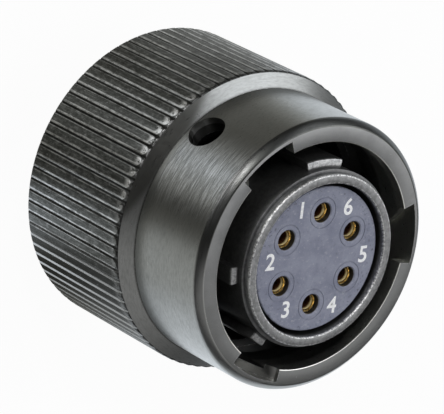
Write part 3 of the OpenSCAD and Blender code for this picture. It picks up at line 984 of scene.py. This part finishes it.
# %% Plating of the barrel and thread
SHELL_GREY, SHELL_PALE = (0.25, 0.252, 0.255), (0.36, 0.363, 0.368)
WALL_SHADE, RIM_BRIGHT = (0.05, 0.05, 0.049), (0.8, 0.8, 0.79)
barrel = Finish("shell_plating")
lines = barrel.lathe_lines(9, 1.6)
outer = barrel.off(barrel.r, RIM_R - 0.045)
inner = barrel.off(barrel.r, BORE_R + 0.04)
rims = barrel.ramp(barrel.math("MINIMUM", outer, inner), 0.03, 0.1, 1, 0)
rims = barrel.times(rims, barrel.ramp(barrel.z, RIM_Z - 0.22, RIM_Z - 0.14))
fronts = barrel.ramp(barrel.z, KEY_Z - 0.25, KEY_Z - 0.1)
fronts = barrel.times(fronts, barrel.ramp(barrel.r, BARREL_R + 0.05, BARREL_R + 0.2, 0, 0.7))
speck = barrel.noise(6, 4, 0.7)
worn = barrel.math("ADD", rims, barrel.times(fronts, 0.5))
worn = barrel.times(worn, barrel.ramp(speck, 0.44, 0.56))
blotch = barrel.noise(3.2, 5, 0.75)
barrel.tone = barrel.mix(barrel.ramp(blotch, 0.4, 0.6), SHELL_GREY, SHELL_PALE)
# Painted shade on the outer wall below the rim, inside the ring.
walls = barrel.ramp(barrel.math("ADD", barrel.z, fronts), STEP_Z - 0.1, STEP_Z + 0.2, 0.75, 0)
walls = barrel.times(walls, barrel.ramp(barrel.z, FLANGE_TOP - 0.2, FLANGE_TOP + 0.8))
barrel.lay(WALL_SHADE, walls)
barrel.lay(RIM_BRIGHT, worn)
barrel.set(barrel.ramp(lines, 0.2, 0.8, 0.42, 0.55), metal=1)
barrel.bump(lines, 0.005, 0.5)
coat(barrel, shell, thread)

# %% [markdown]
# ### Slate moulding
# The insert is a hard moulded plastic of a bluish slate grey. It is matte with a fine grain, scuffed pale
# in places, and flecked with dirt towards its edge. Below its front edge it goes almost black, since
# hardly any light gets down beside it.

# %% Moulding of the insert
SLATE, SLATE_PALE, SCUFF_PALE = (0.2, 0.213, 0.285), (0.27, 0.284, 0.36), (0.42, 0.43, 0.48)
FLECK_DARK, SIDE_DARK = (0.07, 0.072, 0.095), (0.012, 0.01, 0.008)
slate = Finish("slate_moulding")
scuff = slate.noise(4.5, 6, 0.75)
slate.tone = slate.mix(slate.ramp(slate.noise(0.8, 4), 0.3, 0.7), SLATE, SLATE_PALE)
slate.lay(SCUFF_PALE, slate.ramp(scuff, 0.56, 0.66, 0, 0.6))
outward = slate.ramp(slate.r, 3.9, INSERT_FACE_R, 0.25, 0.9)
slate.lay(FLECK_DARK, slate.times(slate.ramp(scuff, 0.44, 0.36), outward))
sides = slate.ramp(slate.z, INSERT_Z - 0.15, INSERT_Z - 0.06, 1, 0)
slate.lay(SIDE_DARK, sides)
grain = slate.noise(14, 3, 0.6)
slate.set(slate.ramp(grain, 0.3, 0.7, 0.5, 0.65))
slate.bump(grain, 0.004, 0.4)
coat(slate, insert)

# %% [markdown]
# ### Gold
# The sockets are gold over brass: a metal with a warm tone and faint machining lines across its length.
# In a bore the light bounces from wall to wall and is soon lost, which takes many bounces to render, so
# the bore has a finish of its own that goes from bright gold at the mouth to dark brown below.

# %% Gold on the sockets and in their bores
GOLD, GOLD_PALE = (0.85, 0.6, 0.25), (1, 0.8, 0.42)
BORE_DARK, BORE_GOLD, BORE_SHINE = (0.05, 0.018, 0.006), (1, 0.84, 0.46), 0.15
gold = Finish("gold_plating")
lines = gold.noise(3, 3, 0.55, gold.point(gold.x, gold.y, gold.times(gold.z, 6)))
gold.tone = gold.mix(lines, GOLD, GOLD_PALE)
gold.set(gold.ramp(lines, 0.3, 0.7, 0.18, 0.3), metal=1)
bore = Finish("bore_gold")
bore.tone = bore.mix(bore.ramp(bore.z, SOCKET_Z - 0.45, SOCKET_Z - 0.21), BORE_DARK, BORE_GOLD)
bore.set(bore.ramp(bore.noise(5), 0.3, 0.7, 0.25, 0.4), metal=BORE_SHINE)
coat(gold, *sockets)
for socket, turn in zip(sockets, contacts):
    axis = Vector((math.cos(turn), math.sin(turn), 0)) * CIRCLE_R
    coat_faces(bore, socket, lambda co: radius(co - axis) < PIN_R + 0.06 and co.z > HOOD_LOW)

# %% [markdown]
# ### White ink
# The position numbers are printed in white ink that has faded a little. A noise turns it from white to a
# bluish white in patches, so that the numbers don't look pasted on.

# %% Ink of the numbers
INK_FADED, INK_WHITE, INK_ROUGH = (0.82, 0.83, 0.88), (1, 1, 1), 0.6
ink = Finish("white_ink")
ink.tone = ink.mix(ink.ramp(ink.noise(7), 0.3, 0.55), INK_FADED, INK_WHITE)
ink.set(INK_ROUGH)
coat(ink, *numbers)

# %% [markdown]
# ### Steel and rubber
# The washers, the snap ring and the sleeves on the contacts are bright steel, and the gasket is black
# rubber. Little of them shows, so all but the wave washer keep the shapes of their solids, and two simple
# finishes do.

# %% Finishes of the inner pieces
STEEL, STEEL_PALE = (0.42, 0.42, 0.43), (0.6, 0.6, 0.61)
RUBBER, RUBBER_PALE = (0.012, 0.012, 0.012), (0.03, 0.03, 0.03)
steel = Finish("bright_steel")
lines = steel.lathe_lines(12, 1.5)
steel.tone = steel.mix(lines, STEEL, STEEL_PALE)
steel.set(steel.ramp(lines, 0.2, 0.8, 0.2, 0.35), metal=1)
rubber = Finish("black_rubber")
grain = rubber.noise(10)
rubber.tone = rubber.mix(grain, RUBBER, RUBBER_PALE)
rubber.set(rubber.ramp(grain, 0.3, 0.7, 0.6, 0.8))
steel_names = [name for name in nodes if name.startswith("hood") or name.endswith("washer")]
coat(steel, spring, nodes["retaining_ring"], *(nodes[name] for name in steel_names))
coat(rubber, nodes["gasket"])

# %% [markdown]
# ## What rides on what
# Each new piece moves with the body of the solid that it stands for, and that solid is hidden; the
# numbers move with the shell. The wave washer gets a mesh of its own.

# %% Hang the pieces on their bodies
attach(ring, "coupling")
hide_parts("coupling_ring")
for piece in (shell, thread):
    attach(piece, "shell")
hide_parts("plug_shell")
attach(insert, "shell")
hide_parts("insert")
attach(spring, "shell")
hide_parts("wave_washer")
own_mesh(spring)
for i, (socket, number) in enumerate(zip(sockets, numbers)):
    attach(socket, "shell")
    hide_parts(f"socket_{i + 1}")
    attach(number, "shell")
print("on their bodies:", 5 + len(sockets) + len(numbers), "pieces")

# %% [markdown]
# ## Studio
# The plug stands on a white floor that fills the view. A photographer sets pale and dark cards round
# shiny metal, so that it has something to mirror. From this camera the neck and the knurl mirror only the
# floor, so soft tones are painted there in a ring, near ones for the grip and far ones for the neck.

# %% Cards round the plug
FLOOR_SIZE, FLOOR_DROP = 4000, 0.02
NEAR_REACH, FAR_REACH = 19, 23
deselect()
bpy.ops.mesh.primitive_plane_add(size=FLOOR_SIZE * MM, location=(0, 0, -FLOOR_DROP * MM))
floor = bpy.context.object
floor.name = "floor"
paper = Finish("floor_paper")
bearing = paper.math("WRAP", paper.times(paper.turn, 1 / math.tau), 1, 0)


def cards(stops):
    """Soft cards round the plug, as (angle, brightness) stops, warmer where they are dark."""
    ramp = paper.node("ShaderNodeValToRGB", {0: bearing})
    for angle, value in stops[1:-1]:
        ramp.color_ramp.elements.new(angle / 360)
    for element, (angle, value) in zip(ramp.color_ramp.elements, stops):
        cool = min(value, 0.9)
        element.position = angle / 360
        element.color = (value * (1.03 - 0.1 * cool), value, value * (0.85 + 0.23 * cool), 1)
    return ramp.outputs[0]


far_cards = cards([
    (0, 1), (46, 1), (62, 0.36), (76, 0.13), (112, 0.09), (121, 0.34), (131, 0.8), (145, 0.5), (154, 0.3),
    (159, 0.04), (168, 0.04), (180, 0.12), (190, 0.47), (215, 0.6), (240, 0.88), (262, 1), (284, 1.25),
    (312, 1), (360, 1),
])
near_cards = cards([
    (0, 0.8), (45, 0.6), (88, 0.5), (102, 0.22), (118, 0.2), (132, 0.34), (147, 0.38), (160, 0.19),
    (180, 0.2), (190, 1), (207, 1), (214, 0.6), (222, 0.15), (236, 0.1), (246, 0.25), (258, 0.4),
    (276, 0.9), (360, 0.9),
])
card = paper.mix(paper.ramp(paper.r, NEAR_REACH, FAR_REACH), near_cards, far_cards)
print("near and far cards blend from", NEAR_REACH, "to", FAR_REACH, "mm")

# %% [markdown]
# The cards must not show in the picture itself. The Light Path node tells which ray has met the floor: a
# ray from the camera sees white with a faint shadow, a mirrored ray sees the cards, and any other ray
# meets matte paper. Real cards on stands would be in the camera's way.

# %% Paper of the floor
WHITE, WHITE_SHARE = (1, 1, 1), 0.96
paper.tone = (0.8, 0.8, 0.8)
paper.set(1)
rays = paper.node("ShaderNodeLightPath").outputs
white = paper.node("ShaderNodeEmission", {"Color": WHITE, "Strength": 1}).outputs[0]
mirrored = paper.node("ShaderNodeEmission", {"Color": card, "Strength": 1}).outputs[0]
seen = paper.times(rays["Is Camera Ray"], WHITE_SHARE)
matte = paper.node("ShaderNodeMixShader", {0: seen, 1: paper.shader.outputs[0], 2: white}).outputs[0]
shiny = paper.math("MAXIMUM", rays["Is Glossy Ray"], rays["Is Transmission Ray"])
whole = paper.node("ShaderNodeMixShader", {0: shiny, 1: matte, 2: mirrored}).outputs[0]
paper.put(whole, paper.tree.nodes["Material Output"].inputs[0])
coat(paper, floor)

# %% [markdown]
# Six soft lamps stand round the plug. The low one lights the grip, the right and fill lamps the two
# sides, the face and top lamps the insert and the lip, and the near one, beside the camera, looks down
# the sockets. Large lamps give soft shadows, and the world adds a little light everywhere.


# %% Lamps
def softbox(name, azimuth, elevation, distance, size, power, color=(1, 1, 1), aim=12):
    """A soft lamp at the given angles, turned to the point on the axis at the height of its aim."""
    a, e = math.radians(azimuth), math.radians(elevation)
    out = Vector((math.cos(a) * math.cos(e), math.sin(a) * math.cos(e), math.sin(e)))
    deselect()
    bpy.ops.object.light_add(type="AREA", location=(Vector((0, 0, aim)) + out * distance) * MM)
    lamp = bpy.context.object
    lamp.name = name
    lamp.data.shape = "RECTANGLE"
    lamp.data.size, lamp.data.size_y = (length * MM for length in size)
    lamp.data.energy = power
    lamp.data.color = color
    lamp.rotation_euler = (-out).to_track_quat("-Z", "Y").to_euler()
    print(name, power, "W")


COOL_WHITE, WORLD_LIGHT = (0.93, 0.96, 1), 0.045
# Each lamp's name, azimuth, elevation, distance, size and power
softbox("low_lamp", 135, 8, 300, (160, 160), 0.45)
softbox("face_lamp", 8, 47, 200, (140, 140), 0.1, aim=FACE_Z)
softbox("right_lamp", 43, 42, 400, (330, 300), 0.5, COOL_WHITE)
softbox("fill_lamp", 256, 48, 400, (550, 300), 0.16)
softbox("top_lamp", 300, 70, 400, (250, 250), 0.1)
softbox("near_lamp", 122, 40, 400, (80, 80), 0.45)
world = bpy.data.worlds.new("studio")
bpy.context.scene.world = world
world.use_nodes = True
background = world.node_tree.nodes["Background"]
background.inputs["Color"].default_value = (1, 1, 1, 1)
background.inputs["Strength"].default_value = WORLD_LIGHT

# %% [markdown]
# The camera is far off with a long lens, so that the plug's circles keep their shape, and it is rolled so
# that the plug lies in the picture as on a table. The Standard view shows colours as they are written.

# %% Camera
CAMERA_PLACE, CAMERA_TURN = (-152.561, 78.123, 195.517), (-23.36, -37.243, 8.447)
LENS, SENSOR, CLIP_START = 290.88, 36, 10
tilt = Euler([math.radians(angle) for angle in CAMERA_TURN])
bpy.ops.object.camera_add(location=Vector(CAMERA_PLACE) * MM, rotation=tilt)
camera = bpy.context.object
camera.data.sensor_width = SENSOR
camera.data.sensor_fit = "HORIZONTAL"
camera.data.lens = LENS
camera.data.clip_start = CLIP_START * MM
bpy.context.scene.camera = camera
bpy.context.scene.view_settings.view_transform = "Standard"
print("camera", round(camera.location.length / MM), "mm from the plug's foot")
